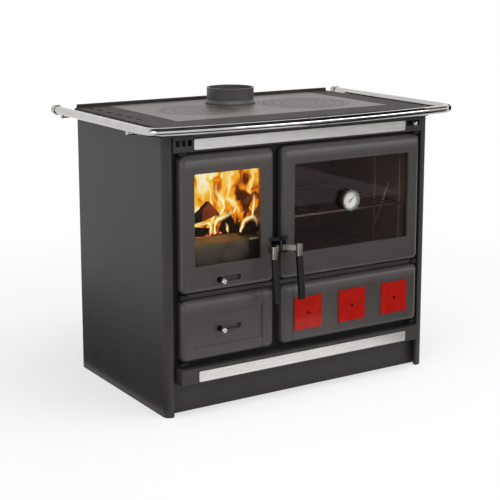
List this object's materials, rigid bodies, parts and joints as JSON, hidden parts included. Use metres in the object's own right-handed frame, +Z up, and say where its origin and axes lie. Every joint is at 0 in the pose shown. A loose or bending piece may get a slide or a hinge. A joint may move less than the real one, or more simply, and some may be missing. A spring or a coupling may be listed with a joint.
{
  "type": "wood cookstove",
  "caption": "Free-standing wood-burning cookstove with glazed fire and oven doors, ash and tiled store doors, iron hob with lift-off rings, flue collar and a rail round the top",
  "frame": {"origin": "on the floor under the middle of the overall box", "axes": "+X to the right of someone facing the doors, +Y to the back, +Z up"},
  "size_m": [1.091, 0.6864, 0.89],
  "materials": {
    "enamelled_sheet": "satin anthracite enamel on sheet steel",
    "door_enamel": "anthracite enamel on cast iron",
    "black_iron": "matt black heat-proof paint",
    "top_iron": "dark grey heat-proof paint",
    "hob_iron": "ground cast iron, turned grooves",
    "brushed_strip": "brushed along its length",
    "polished_chrome": "polished chrome plate",
    "bright_nickel": "satin nickel plate",
    "zinc_steel": "zinc-plated steel",
    "grip_black": "black heat-resistant moulding",
    "clear_glass": "clear glass-ceramic",
    "smoked_glass": "dark tinted tempered glass",
    "rope_seal": "braided glass-fibre rope",
    "fire_board": "pressed vermiculite board",
    "red_enamel": "gloss red enamel",
    "gauge_black": "black enamelled needle",
    "gauge_dial": "matt white printed face without words"
  },
  "bodies": {
    "stove_body": {"left_side_panel": "enamelled_sheet", "right_side_panel": "enamelled_sheet", "back_panel": "enamelled_sheet", "base_plate": "enamelled_sheet", "plinth": "enamelled_sheet", "centre_partition": "enamelled_sheet", "front_frame": "black_iron", "hinge_pins": "zinc_steel", "upper_front_panel": "enamelled_sheet", "upper_trim_strip": "brushed_strip", "lower_front_band": "enamelled_sheet", "lower_trim_strip": "brushed_strip", "lower_stiles": "door_enamel", "top_frame": "top_iron", "cooktop_plate": "hob_iron", "flue_collar": "top_iron", "handrail": "polished_chrome", "rail_end_knobs": "polished_chrome", "rail_posts": "polished_chrome", "firebox_left_brick": "fire_board", "firebox_right_brick": "fire_board", "firebox_back_brick": "fire_board", "firebox_floor": "enamelled_sheet", "fire_grate": "black_iron", "log_guard": "black_iron", "ash_pan": "enamelled_sheet", "oven_box": "enamelled_sheet", "oven_rack": "polished_chrome"},
    "fire_door": {"fire_door": "door_enamel", "fire_door_glass": "clear_glass", "fire_glass_clips": "zinc_steel", "fire_door_seal": "rope_seal", "fire_latch_bracket": "black_iron"},
    "fire_lever": {"fire_lever_arm": "bright_nickel", "fire_lever_cap": "bright_nickel", "fire_lever_grip": "grip_black"},
    "fire_air": {"fire_air_slider": "polished_chrome"},
    "ash_door": {"ash_door": "door_enamel"},
    "ash_air": {"ash_air_slider": "polished_chrome"},
    "oven_door": {"oven_door": "door_enamel", "oven_door_glass": "smoked_glass", "oven_glass_clips": "zinc_steel", "oven_door_seal": "rope_seal", "oven_latch_bracket": "black_iron", "gauge_case": "polished_chrome", "gauge_dial": "gauge_dial"},
    "oven_lever": {"oven_lever_arm": "bright_nickel", "oven_lever_cap": "bright_nickel", "oven_lever_grip": "grip_black"},
    "needle": {"gauge_needle": "gauge_black"},
    "store_door": {"store_door": "door_enamel", "red_tiles": "red_enamel", "tile_screws": "zinc_steel"},
    "outer_ring": {"hob_ring_outer": "hob_iron"},
    "inner_ring": {"hob_ring_inner": "hob_iron"},
    "lid": {"hob_lid": "hob_iron"},
    "cover": {"clean_out_cover": "hob_iron"},
    "damper": {"damper_rod": "polished_chrome"}
  },
  "joints": [
    {"name": "fire_door_hinge", "type": "hinge", "parent": "stove_body", "child": "fire_door", "pos_m": [-0.416, -0.25075, 0.558], "axis": [0, 0, -1], "range_deg": [0, 110]},
    {"name": "ash_door_hinge", "type": "hinge", "parent": "stove_body", "child": "ash_door", "pos_m": [-0.416, -0.25075, 0.252], "axis": [0, 0, -1], "range_deg": [0, 110]},
    {"name": "oven_door_hinge", "type": "hinge", "parent": "stove_body", "child": "oven_door", "pos_m": [0.416, -0.25075, 0.558], "axis": [0, 0, 1], "range_deg": [0, 110]},
    {"name": "store_door_hinge", "type": "hinge", "parent": "stove_body", "child": "store_door", "pos_m": [0.416, -0.25075, 0.252], "axis": [0, 0, 1], "range_deg": [0, 110]},
    {"name": "fire_lever_pivot", "type": "hinge", "parent": "fire_door", "child": "fire_lever", "pos_m": [-0.1125, -0.27475, 0.47], "axis": [0, 0, 1], "range_deg": [0, 35]},
    {"name": "oven_lever_pivot", "type": "hinge", "parent": "oven_door", "child": "oven_lever", "pos_m": [-0.0905, -0.27475, 0.47], "axis": [0, 0, -1], "range_deg": [0, 35]},
    {"name": "fire_air_slide", "type": "slide", "parent": "fire_door", "child": "fire_air", "axis": [1, 0, 0], "range_m": [0, 0.054]},
    {"name": "ash_air_slide", "type": "slide", "parent": "ash_door", "child": "ash_air", "axis": [1, 0, 0], "range_m": [0, 0.054]},
    {"name": "damper_pull", "type": "slide", "parent": "stove_body", "child": "damper", "axis": [0, -1, 0], "range_m": [0, 0.06]},
    {"name": "needle_turn", "type": "hinge", "parent": "oven_door", "child": "needle", "pos_m": [0.155, -0.27075, 0.5755], "axis": [0, 1, 0], "range_deg": [-172, 68]},
    {"name": "outer_ring_lift", "type": "slide", "parent": "stove_body", "child": "outer_ring", "axis": [0, 0, 1], "range_m": [0, 0.15]},
    {"name": "inner_ring_lift", "type": "slide", "parent": "outer_ring", "child": "inner_ring", "axis": [0, 0, 1], "range_m": [0, 0.15]},
    {"name": "lid_lift", "type": "slide", "parent": "inner_ring", "child": "lid", "axis": [0, 0, 1], "range_m": [0, 0.15]},
    {"name": "cover_lift", "type": "slide", "parent": "stove_body", "child": "cover", "axis": [0, 0, 1], "range_m": [0, 0.15]}
  ]
}
